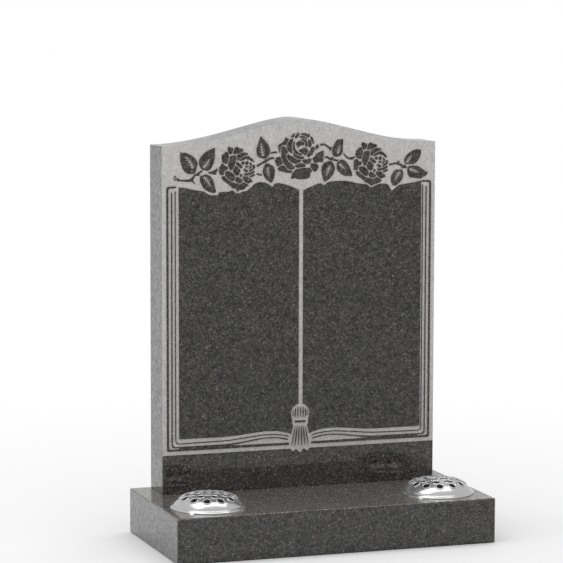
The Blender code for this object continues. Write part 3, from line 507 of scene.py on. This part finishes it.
# The lower edge of a page: distance from the middle, height
PAGE_FOOT = (
    (17.5, 99.6), (22, 101.9), (30, 104.1), (40, 106.6), (50, 107.7), (70, 108.1), (90, 106.6),
    (110, 104.6), (130, 102.6), (150, 101.8),
)
# The line round a page, from the tassel outwards and up, and its width
PAGE_LINE = (
    (22.5, 96.1), (30, 98.6), (40, 100.1), (50, 101.1), (70, 101.8), (90, 100.1), (110, 98.1), (130, 95.8),
    (150, 94.6), (237, 93.4), (241.5, 95.2), (243.2, 99.5), (243.2, 330), (243.2, 561),
)
PAGE_LINE_WIDTH = 2.1
# The outline of the right half of the cover
COVER = (
    (22, 79.8), (257.6, 79.8), (260.3, 82.5), (260.3, 566.6), (257.3, 569.6), (241.5, 569.6), (241.5, 566),
    (253.8, 566), (256, 563.8), (256, 86.6), (253, 83.7), (236, 83.7), (236, 85.7), (247.5, 85.9),
    (251.4, 90), (251.4, 558.5), (248.6, 558), (248.6, 92.2), (245, 88.1), (150, 88.3), (130, 89.4),
    (110, 91.5), (90, 94.4), (75, 96.1), (60, 96.6), (45, 96), (30, 93.4), (23.5, 91.1), (24.5, 89.1),
    (45, 93.9), (60, 94.5), (75, 93.9), (100, 90.4), (120, 87.5), (137, 85.7), (120, 85), (22, 84.5),
)
# The foot of the frosted field, where the tassel's ends dip into the polished panel
TASSEL_ENDS = (
    (-19.5, 72.6), (-14.2, 66.6), (-8.6, 72.2), (-0.2, 64.3), (7, 72.1), (13.8, 67), (18.8, 72.5),
)
# The tassel's knob: height of its middle, radius
KNOB = (138.8, 18.2)
# Polished slivers in the knob: across, low end, high end, bow, width
KNOB_SLIVERS = (
    (-12.6, 132, 146, -2, 1.7), (-8.4, 130.5, 150, -1.6, 2.6), (-3.9, 130, 152, -0.8, 2.7),
    (0.6, 132, 151.5, 0.2, 2.1), (5.1, 130, 152, 0.9, 2.7), (9.5, 130.5, 149.5, 1.6, 2.5),
    (13.2, 133, 145.5, 2, 1.6),
)
# The skirt's top and foot, and its polished slivers: across at the top and at the foot, width
SKIRT = (115.5, 77)
SKIRT_SLIVERS = (
    (-9.2, -17.2, 2.3), (-5.4, -10.4, 2.9), (-1.6, -3.4, 2.6), (2.2, 3.6, 2.9), (5.8, 10.2, 2.9),
    (9.6, 16.6, 2.4),
)
# The polished band round the tassel's neck
BAND = ((-10.6, 121.3), (10.6, 121.3), (10.6, 125.5), (-10.6, 125.5))


def page(side, top):
    """One page: round the tassel, up the gutter, and along its upper edge."""
    edge = abs(top[-1][0])
    height, radius = KNOB
    last = math.degrees(math.acos(abs(top[0][0]) / radius))
    around = [(13.4, 117.5), (15.8, 118.1), (15.8, 127.7)]
    for turn in [*range(-18, int(last), 8), last]:
        angle = math.radians(turn)
        around.append((radius * math.cos(angle), height + radius * math.sin(angle)))
    foot = [(edge, 103.2), (edge - 1.2, 102), *PAGE_FOOT[::-1]]
    return soften([(side * x, z) for x, z in foot + around] + list(top), 1.6)


def book():
    """The pages, the lines round them, and the tassel's slivers."""
    shapes = [page(-1, LEFT_TOP), page(1, RIGHT_TOP)]
    for line in (soften(COVER, 0.9, 3), soften(stroke(PAGE_LINE, PAGE_LINE_WIDTH), 1.5, 3)):
        shapes += [line, mirrored(line)]
    for x, low, high, bow, width in KNOB_SLIVERS:
        shapes.append(sliver(x, high, x, low, bow, width))
    shapes.append(soften(BAND, 1.4))
    for top, foot, width in SKIRT_SLIVERS:
        shapes.append(sliver(top, SKIRT[0], foot, SKIRT[1], 0, width))
    return shapes


def drawing():
    """Every raised, polished shape of the drawing."""
    shapes = book()
    pages = shapes[:2]
    leaves = [toothed(soften(points, 3.0, 3)) for points in LEAVES]
    roses = [[moved(points, *middle) for points in SIDE_ROSE] for middle in ROSE_MIDDLES] + [MIDDLE_ROSE]
    petals = [points for rose in roses for points in grown(rose, [*leaves, *STEMS, *pages])]
    stems = [grown([points], [*leaves, *petals, *pages], 1.2, 0.45, 0.45)[0] for points in STEMS]
    shapes += [soften(points, 0.9, 3) for points in petals + stems] + leaves
    middle, outside, _ = CUT_END
    return shapes + [oval(middle, outside, 28)]


def openings():
    """The frosted veins of the leaves and the frosted middle of the stem's cut end."""
    middle, _, inside = CUT_END
    return [feathered(points) for points in VEINS] + [oval(middle, inside, 20)]


def frosted_field():
    """The frosted field, wider and taller than the tablet."""
    wide = DRAWN_HALF * 1.1
    top = DRAWN_TOP * 1.05
    return soften([(-wide, DRAWN_FOOT), *TASSEL_ENDS, (wide, DRAWN_FOOT), (wide, top), (-wide, top)], 1.2)


def stencil(shapes):
    """A solid of flat outlines that reaches from before the tablet's face to the carving's depth."""
    front, back = FRONT - TABLET_DEPTH * 0.2, FRONT + CARVE_DEPTH
    curve = bpy.data.curves.new("stencil", "CURVE")
    curve.dimensions = "2D"
    curve.fill_mode = "BOTH"
    curve.extrude = (back - front) / 2
    slant = Matrix.Rotation(FILL_SLANT, 2)
    for shape in shapes:
        spline = curve.splines.new("POLY")
        spline.points.add(len(shape) - 1)
        for point, corner in zip(spline.points, spread(shape)):
            point.co = (*(slant @ Vector(corner)), 0, 1)
        spline.use_cyclic_u = True
    obj = bpy.data.objects.new("stencil", curve)
    bpy.context.scene.collection.objects.link(obj)
    pick(obj)
    bpy.ops.object.convert(target="MESH")
    obj = bpy.context.view_layer.objects.active
    obj.rotation_euler = (math.pi / 2, FILL_SLANT, 0)
    obj.location = (0, (front + back) / 2, 0)
    settle(obj)
    face_outwards(obj)
    return obj


# Pieces

def shoulder(x):
    """The height of the tablet's S-shaped top at x."""
    t = abs((x - MIDDLE) / HALF_WIDTH) ** 0.82
    return FOOT + TABLET_HEIGHT - SHOULDER_DROP * (3 * t * t - 2 * t ** 3)


def slab(name):
    """The plain tablet with its S-shaped top, and arrises on every edge but those of its foot."""
    bpy.ops.mesh.primitive_grid_add(x_subdivisions=120, y_subdivisions=1, size=2 * HALF_WIDTH)
    tablet = bpy.context.view_layer.objects.active
    tablet.name = name
    form = open_mesh(tablet)
    for vert in form.verts:
        x = MIDDLE + vert.co.x
        vert.co = (x, FRONT, shoulder(x) if vert.co.y > 0 else FOOT)
    bpy.ops.mesh.select_mode(type="FACE")
    bpy.ops.mesh.select_all(action="SELECT")
    bpy.ops.mesh.extrude_region_move(TRANSFORM_OT_translate={"value": (0, TABLET_DEPTH, 0)})
    form = bmesh.from_edit_mesh(tablet.data)
    form.normal_update()
    for side in (FRONT, FRONT + TABLET_DEPTH):
        choose(form, "faces", lambda face: all(abs(vert.co.y - side) < SAME for vert in face.verts))
        bpy.ops.mesh.dissolve_faces()
        form = bmesh.from_edit_mesh(tablet.data)

    def across_foot(edge):
        low = all(vert.co.z < FOOT + SAME for vert in edge.verts)
        inner = all(abs(vert.co.x - MIDDLE) < HALF_WIDTH - ARRIS / 2 for vert in edge.verts)
        return low and inner and abs(edge.verts[0].co.x - edge.verts[1].co.x) < SAME

    choose(form, "edges", across_foot)
    bpy.ops.mesh.dissolve_edges()
    bpy.ops.mesh.select_all(action="SELECT")
    bpy.ops.mesh.normals_make_consistent(inside=False)
    form = bmesh.from_edit_mesh(tablet.data)

    def sharp(edge):
        above = any(vert.co.z > FOOT + ARRIS / 2 for vert in edge.verts)
        return above and len(edge.link_faces) == 2 and edge.calc_face_angle() > math.radians(50)

    choose(form, "edges", sharp)
    bpy.ops.mesh.bevel(offset=ARRIS, segments=2, profile=0.5, affect="EDGES")
    close_mesh(tablet)
    return tablet


def carved_tablet(polished, frosted):
    """The slab, frosted back round every raised shape of the drawing."""
    tablet = slab("carved_tablet")
    for shapes in ([frosted_field()] + drawing(), openings()):
        combine(tablet, stencil(shapes), "DIFFERENCE")
    tablet.data.materials.append(polished)
    tablet.data.materials.append(frosted)
    form = open_mesh(tablet)
    deep = FRONT + CARVE_DEPTH
    clear = ARRIS + 0.0003

    def carved(face):
        middle = face.calc_center_median()
        if face.normal.y < -0.9:
            return middle.y > deep - 0.0002
        inside = abs(middle.x - MIDDLE) < HALF_WIDTH - clear and middle.z < shoulder(middle.x) - clear
        return inside and middle.y < deep and middle.z > FOOT + PANEL_HEIGHT / 2

    choose(form, "faces", carved)
    tablet.active_material_index = 1
    bpy.ops.object.material_slot_assign()
    close_mesh(tablet)
    return tablet


def turned(name, profile, centre, foot, steps):
    """A piece turned about an upright axis. The profile of (radius, height) starts and ends on the axis."""
    bpy.ops.mesh.primitive_circle_add(vertices=steps, radius=profile[1][0], location=(0, 0, profile[1][1]))
    obj = bpy.context.view_layer.objects.active
    obj.name = name
    settle(obj)
    open_mesh(obj)
    bpy.ops.mesh.select_mode(type="VERT")
    bpy.ops.mesh.select_all(action="SELECT")
    bpy.ops.mesh.edge_face_add()
    bpy.ops.mesh.poke()
    form = bmesh.from_edit_mesh(obj.data)
    for vert in form.verts:
        if vert.co.to_2d().length < 1e-6:
            vert.co.z = profile[0][1]
    choose(form, "edges", lambda edge: edge.is_boundary)
    for (radius, height), (wide, high) in zip(profile[1:-2], profile[2:-1]):
        bpy.ops.mesh.extrude_edges_move()
        form = bmesh.from_edit_mesh(obj.data)
        for vert in form.verts:
            if vert.select:
                vert.co = (vert.co.x * wide / radius, vert.co.y * wide / radius, high)
    bpy.ops.mesh.edge_face_add()
    bpy.ops.mesh.poke()
    form = bmesh.from_edit_mesh(obj.data)
    for vert in form.verts:
        if vert.select and vert.co.to_2d().length < 1e-6:
            vert.co.z = profile[-1][1]
    close_mesh(obj)
    obj.location = (*centre, foot)
    settle(obj)
    face_outwards(obj)
    return obj


# The lid's outer profile from rim to crown, as shares of its radius and height
LID_PROFILE = (
    (1.0, 0.0), (1.0, 0.06), (0.985, 0.085), (0.965, 0.14), (0.952, 0.165), (0.935, 0.17), (0.922, 0.2),
    (0.915, 0.235), (0.9, 0.3), (0.82, 0.51), (0.72, 0.69), (0.57, 0.85), (0.35, 0.955), (0.15, 0.995),
)
# Rings of holes in a lid: number, radius as a share of the lid's, turn in degrees
HOLE_RINGS = ((4, 0.22, 44), (8, 0.47, 21), (12, 0.69, 14))
# How far the left lid is turned from the right one, in degrees
LEFT_LID_TURN = 25


def place_of(node):
    """A round node's middle, foot, radius and height."""
    low, high = (Vector(corner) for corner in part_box(node))
    middle = ((low.x + high.x) / 2, (low.y + high.y) / 2)
    return middle, low.z, (high.x - low.x) / 2, high.z - low.z


def place_on(profile, radius, angle):
    """Where a tool stands square to the dome, at this radius and angle."""
    for (r0, z0), (r1, z1) in zip(profile, profile[1:]):
        if r0 <= radius < r1:
            height = z0 + (z1 - z0) * (radius - r0) / (r1 - r0)
            slope = Matrix.Rotation(math.atan2(z0 - z1, r1 - r0), 4, "Y")
            return Matrix.Rotation(angle, 4, "Z") @ (Matrix.Translation((radius, 0, height)) @ slope)


def lid_profile(radius, height):
    """A lid's outside from its crown to its rim, and the whole closed profile."""
    outer = smooth_line([(0.0001, height)] + [(r * radius, z * height) for r, z in LID_PROFILE[::-1]])
    inner = []
    for i in range(len(outer) - 1):
        before, after = outer[max(i - 1, 0)], outer[i + 1]
        length = math.dist(before, after)
        dr, dz = (after[0] - before[0]) / length, (after[1] - before[1]) / length
        inner.append((max(outer[i][0] + dz * LID_WALL, 0.0001), outer[i][1] - dr * LID_WALL))
    inner = [point for point in inner if point[0] < radius * 0.93 and point[1] > LID_WALL * 3]
    rim = [(radius - LID_WALL, 0.0), (radius - LID_WALL, LID_WALL), (radius - LID_WALL * 1.4, 0.0035)]
    return outer, [(0, height), *outer[1:], *rim, *inner[:0:-1], (0, height - LID_WALL)]


def lid(name, node, turn):
    """A thin dome with a stepped rim and rings of four, eight and twelve holes with flat collars."""
    middle, foot, radius, height = place_of(node)
    outer, profile = lid_profile(radius, height)
    dome = turned(name, profile, (0, 0), 0, 144)
    collars, drills = [], []
    for number, share, start in HOLE_RINGS:
        for i in range(number):
            stand = place_on(outer, share * radius, math.radians(turn + start) + math.tau * i / number)
            bpy.ops.mesh.primitive_torus_add(
                major_radius=LID_HOLE / 2 + COLLAR_GAP + COLLAR_HALF, minor_radius=COLLAR_HALF,
                major_segments=36, minor_segments=12
            )
            collars.append(bpy.context.view_layer.objects.active)
            collars[-1].matrix_world = stand @ Matrix.Diagonal((1, 1, COLLAR_FLATNESS, 1))
            bpy.ops.mesh.primitive_cylinder_add(vertices=36, radius=LID_HOLE / 2, depth=LID_HOLE)
            drills.append(bpy.context.view_layer.objects.active)
            drills[-1].matrix_world = stand
    combine(dome, joined(collars), "UNION")
    combine(dome, joined(drills), "DIFFERENCE")
    dome.location = (*middle, foot)
    settle(dome)
    return dome


def pot(name, node):
    """A spun cup with a rolled flange."""
    middle, foot, flange, top = place_of(node)
    outside = flange - POT_FLANGE
    inside = outside - POT_WALL
    under = top - POT_WALL
    profile = [
        (0, 0), (outside * 0.6, 0), (outside - 0.0028, 0), (outside, 0.0028), (outside, 0.03),
        (outside, 0.032), (outside, under - 0.0002), (outside + 0.0004, under), (flange, under),
        (flange, top), (outside, top), (inside, top - 0.0012), (inside, 0.032), (inside, 0.03),
        (inside, 0.0034), (outside - 0.0036, POT_WALL), (0, POT_WALL),
    ]
    return turned(name, profile, middle, foot, 96)


# Shading

class Socket:
    """A shader value that can be used in an expression."""

    def __init__(self, recipe, socket):
        self.recipe = recipe
        self.socket = socket

    def blend(self, operation, other):
        return self.recipe.add("ShaderNodeMath", {"operation": operation}, {0: self, 1: other})

    def __add__(self, other):
        return self.blend("ADD", other)

    def __mul__(self, other):
        return self.blend("MULTIPLY", other)

    __radd__ = __add__
    __rmul__ = __mul__


class Recipe:
    """A material under its finish's name."""

    def __init__(self, name):
        self.material = bpy.data.materials.new(name)
        self.material.use_nodes = True
        self.tree = self.material.node_tree
        self.shader = self.tree.nodes["Principled BSDF"]
        self.place = self.add("ShaderNodeTexCoord", out="Object")

    def add(self, kind, settings=None, values=None, out=0):
        """A new node with these settings and inputs, as the socket of one of its outputs."""
        node = self.tree.nodes.new(kind)
        for key, value in (settings or {}).items():
            if key == "stops":
                ramp = node.color_ramp.elements
                while len(ramp) < len(value):
                    ramp.new(0.5)
                for element, (position, shade) in zip(ramp, value):
                    element.position = position
                    element.color = (*shade, 1) if isinstance(shade, tuple) else (shade, shade, shade, 1)
            else:
                setattr(node, key, value)
        for key, value in (values or {}).items():
            self.join(node.inputs[key], value)
        return Socket(self, node.outputs[out])

    def join(self, entry, value):
        if isinstance(value, Socket):
            self.tree.links.new(value.socket, entry)
        else:
            entry.default_value = value

    def noise(self, scale, detail, out="Fac"):
        values = {"Vector": self.place, "Scale": scale, "Detail": detail}
        return self.add("ShaderNodeTexNoise", None, values, out)

    def ramp(self, stops, by):
        return self.add("ShaderNodeValToRGB", {"stops": stops}, {"Fac": by})

    def scaled(self, vector, by):
        return self.add("ShaderNodeVectorMath", {"operation": "SCALE"}, {0: vector, "Scale": by})

    def summed(self, one, other):
        return self.add("ShaderNodeVectorMath", {"operation": "ADD"}, {0: one, 1: other})

    def bump(self, strength, distance, height):
        values = {"Strength": strength, "Distance": distance, "Height": height}
        return self.add("ShaderNodeBump", None, values, "Normal")

    def surface(self, **values):
        for key, value in values.items():
            self.join(self.shader.inputs[key.replace("_", " ")], value)
        return self.material


def grains(recipe, size, seed):
    """One random grey for each mineral grain of about this size in metres."""
    wobble = recipe.noise(1.6 / size, 2.0, "Color")
    where = recipe.summed(recipe.place, recipe.scaled(wobble, size * 1.1))
    where = recipe.summed(where, (seed, seed * 0.37, -seed))
    colour = recipe.add("ShaderNodeTexVoronoi", None, {"Vector": where, "Scale": 1 / size}, "Color")
    return recipe.add("ShaderNodeSeparateColor", None, {"Color": colour}, 0)


def polished_granite(name, ior, low, high, share, blur):
    """Dark granite: black and grey minerals with pale flecks, each taking the polish a little differently.

    From the height low to the height high, the colour is painted paler by this share, as painted light, and
    the stone turns rougher by blur.
    """
    recipe = Recipe(name)
    large, coarse = grains(recipe, 0.0058, 0.6), grains(recipe, 0.0024, 0.3)
    fine = grains(recipe, 0.0013, 0.8)
    body = recipe.ramp((
        (0.0, (0.0028, 0.0025, 0.0022)), (0.35, (0.0100, 0.0090, 0.0080)), (0.70, (0.0300, 0.0272, 0.0240)),
        (0.92, (0.0545, 0.0494, 0.0437)), (1.0, (0.0960, 0.0870, 0.0770)),
    ), coarse)
    flecks = recipe.ramp(((0.0, 0.12), (0.5, 0.65), (0.86, 1.5), (1.0, 3.0)), fine)
    colour = recipe.add("ShaderNodeMix", {"data_type": "RGBA", "blend_type": "MULTIPLY"},
                        {"Factor": 1.0, "A": body, "B": flecks}, "Result")
    drift = recipe.noise(9.0, 3.0)
    height = recipe.add("ShaderNodeSeparateXYZ", None, {"Vector": recipe.place}, "Z")
    # Painted light: in this height band the colour is lifted paler and the stone is made rougher
    painted_light_zone = recipe.add("ShaderNodeMapRange", None,
                           {"Value": height, "From Min": low, "From Max": high}, "Result")
    paler = recipe.scaled(colour, 1.0 + share * painted_light_zone)
    # Painted light: a grey added to the colour in the same band
    painted_light_lift = recipe.scaled((0.032 * share, 0.031 * share, 0.030 * share), painted_light_zone)
    return recipe.surface(
        Base_Color=recipe.summed(paler, painted_light_lift), IOR=ior,
        Roughness=0.06 + 0.05 * drift + 0.06 * fine + blur * painted_light_zone,
        Coat_Weight=0.08 + 0.55 * large + 0.37 * coarse, Coat_Roughness=0.04, Coat_IOR=1.55
    )


def frosted_granite():
    """The same stone blasted back: pale grey, dry and finely pitted."""
    recipe = Recipe("frosted_granite")
    coarse, fine = grains(recipe, 0.0026, 0.3), grains(recipe, 0.0011, 0.5)
    tone = 0.34 * coarse + 0.34 * fine + 0.32 * recipe.noise(60.0, 4.0)
    colour = recipe.ramp((
        (0.15, (0.37, 0.362, 0.357)), (0.5, (0.495, 0.485, 0.479)), (0.85, (0.64, 0.628, 0.621)),
    ), tone)
    pits = recipe.bump(0.35, 0.0003, recipe.noise(1500.0, 3.0))
    return recipe.surface(Base_Color=colour, Roughness=0.82, Normal=pits, IOR=1.45)


def bright_chrome():
    """Plated metal with faint wiping marks and ripples."""
    recipe = Recipe("bright_chrome")
    marks = recipe.noise(90.0, 5.0)
    ripples = recipe.bump(0.35, 0.0008, recipe.noise(45.0, 1.0))
    return recipe.surface(
        Base_Color=(0.60, 0.598, 0.60, 1), Metallic=0.8, Roughness=0.12 + 0.12 * marks, Normal=ripples
    )


def pot_metal():
    """Dull spun sheet with rings from the tool."""
    recipe = Recipe("pot_metal")
    rings = recipe.add("ShaderNodeTexWave", {"wave_type": "BANDS", "bands_direction": "Z"},
                       {"Vector": recipe.place, "Scale": 260.0, "Distortion": 1.5, "Detail": 2.0}, "Fac")
    stain = recipe.noise(35.0, 5.0)
    colour = recipe.ramp(((0.3, (0.36, 0.36, 0.36)), (0.7, (0.55, 0.55, 0.56))), stain)
    grooves = recipe.bump(0.25, 0.0002, rings)
    return recipe.surface(Base_Color=colour, Metallic=1.0, Roughness=0.34 + 0.2 * stain, Normal=grooves)


# Dressing the frame

def dress():
    # Painted light: the tablet is painted a little paler below its frosted field, for the reflections on its
    # polished panel, and the base is painted paler on its top, for the light from above
    panel = FOOT + PANEL_HEIGHT
    polished = polished_granite("polished_granite", 1.32, panel, panel - 0.006, 0.32, 0.0)
    top = base_high.z
    polished_base = polished_granite("polished_base", 1.45, top - ARRIS - 0.0001, top - 0.0003, 2.3, 0.12)
    frosted = frosted_granite()
    tablet = carved_tablet(polished, frosted)
    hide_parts("headstone")
    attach(tablet, "root")
    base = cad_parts["base"]
    base.data.materials.clear()
    base.data.materials.append(polished_base)
    chrome, dull = bright_chrome(), pot_metal()
    for word, turn in (("left", LEFT_LID_TURN), ("right", 0)):
        dome = lid("domed_lid_" + word, "flower_lid_" + word, turn)
        dome.data.materials.append(chrome)
        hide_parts("flower_lid_" + word)
        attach(dome, "root")
        cup = pot("spun_pot_" + word, "flower_pot_" + word)
        cup.data.materials.append(dull)
        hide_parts("flower_pot_" + word)
        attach(cup, "root")
        for piece in (dome, cup):
            pick(piece)
            bpy.ops.object.shade_smooth_by_angle(angle=math.radians(32))
    pick(tablet)
    bpy.ops.object.shade_smooth_by_angle(angle=math.radians(20))


# The studio

# How far from the middle the floor starts to fade to white, and where it has
FLOOR_FADE = (0.42, 1.7)
# How brightly the white surround lights the pieces, and how bright the camera sees it
SURROUND_LIGHT = 0.7
SURROUND_SEEN = 1.0
# Each lamp: name, place, what it points at, width, depth, power
LAMPS = (
    ("overhead", (-0.1, 0.3, 3.0), (-0.1, 0.3, 0.0), 3.6, 1.6, 35),
    ("front", (-3.2, -4.2, 2.6), (0.0, 0.0, 0.3), 1.6, 1.6, 10),
    ("left", (-3.6, -1.3, 0.5), (0.0, 0.0, 0.4), 0.5, 1.6, 22),
)
# The view: the camera's place, its turn, dip and roll in radians, and its lens in millimetres
CAMERA_PLACE = (-1.71094, -4.74811, 1.06948)
CAMERA_TURN, CAMERA_DIP, CAMERA_ROLL = 0.33481, 0.11681, 0.00224
CAMERA_LENS = 177.06


def pale_floor():
    """A pale floor that fades to white away from the object."""
    bpy.ops.mesh.primitive_plane_add(size=40, location=(0, 0, -0.0003))
    floor = bpy.context.view_layer.objects.active
    floor.name = "floor"
    settle(floor)
    recipe = Recipe("pale_floor")
    away = recipe.add("ShaderNodeVectorMath", {"operation": "LENGTH"}, {0: recipe.place}, "Value")
    fade = {"Value": away, "From Min": FLOOR_FADE[0], "From Max": FLOOR_FADE[1], "To Min": 1.0, "To Max": 0.0}
    near = recipe.add("ShaderNodeMapRange", {"interpolation_type": "SMOOTHSTEP"}, fade, "Result")
    shade = recipe.add("ShaderNodeMix", {"data_type": "RGBA"},
                       {"Factor": near, "A": (0, 0, 0, 1), "B": (0.95, 0.95, 0.95, 1)}, "Result")
    glow = recipe.add("ShaderNodeMix", {"data_type": "RGBA"},
                      {"Factor": near, "A": (1, 1, 1, 1), "B": (0, 0, 0, 1)}, "Result")
    floor.data.materials.append(recipe.surface(
        Base_Color=shade, Emission_Color=glow, Emission_Strength=1.0, Roughness=1.0, Specular_IOR_Level=0.0
    ))


def pale_surround():
    """A white surround that lights softly and shows white."""
    world = bpy.data.worlds.new("pale_surround")
    bpy.context.scene.world = world
    world.use_nodes = True
    nodes, links = world.node_tree.nodes, world.node_tree.links
    soft, plain = nodes["Background"], nodes.new("ShaderNodeBackground")
    for surround, strength in ((soft, SURROUND_LIGHT), (plain, SURROUND_SEEN)):
        surround.inputs["Strength"].default_value = strength
        surround.inputs["Color"].default_value = (1, 1, 1, 1)
    path, either = nodes.new("ShaderNodeLightPath"), nodes.new("ShaderNodeMixShader")
    links.new(path.outputs["Is Camera Ray"], either.inputs[0])
    links.new(soft.outputs[0], either.inputs[1])
    links.new(plain.outputs[0], either.inputs[2])
    links.new(either.outputs[0], nodes["World Output"].inputs["Surface"])


def studio():
    """The floor, the surround, the soft lamps, and the camera that matches the view."""
    pale_floor()
    pale_surround()
    for name, place, target, width, depth, power in LAMPS:
        bpy.ops.object.light_add(type="AREA", location=place)
        lamp = bpy.context.view_layer.objects.active
        lamp.name = name
        lamp.data.shape = "RECTANGLE"
        lamp.data.size, lamp.data.size_y = width, depth
        lamp.data.energy = power
        lamp.rotation_euler = (Vector(target) - Vector(place)).to_track_quat("-Z", "Y").to_euler()
    bpy.ops.object.camera_add(location=CAMERA_PLACE)
    camera = bpy.context.view_layer.objects.active
    level = math.cos(CAMERA_DIP)
    aim = Vector((math.sin(CAMERA_TURN) * level, math.cos(CAMERA_TURN) * level, -math.sin(CAMERA_DIP)))
    turn = aim.to_track_quat("-Z", "Y").to_matrix().to_4x4() @ Matrix.Rotation(CAMERA_ROLL, 4, "Z")
    camera.matrix_world = Matrix.Translation(camera.location) @ turn
    camera.data.lens = CAMERA_LENS
    camera.data.sensor_width = 36
    bpy.context.scene.camera = camera
    bpy.context.scene.view_settings.view_transform = "Standard"


dress()
studio()
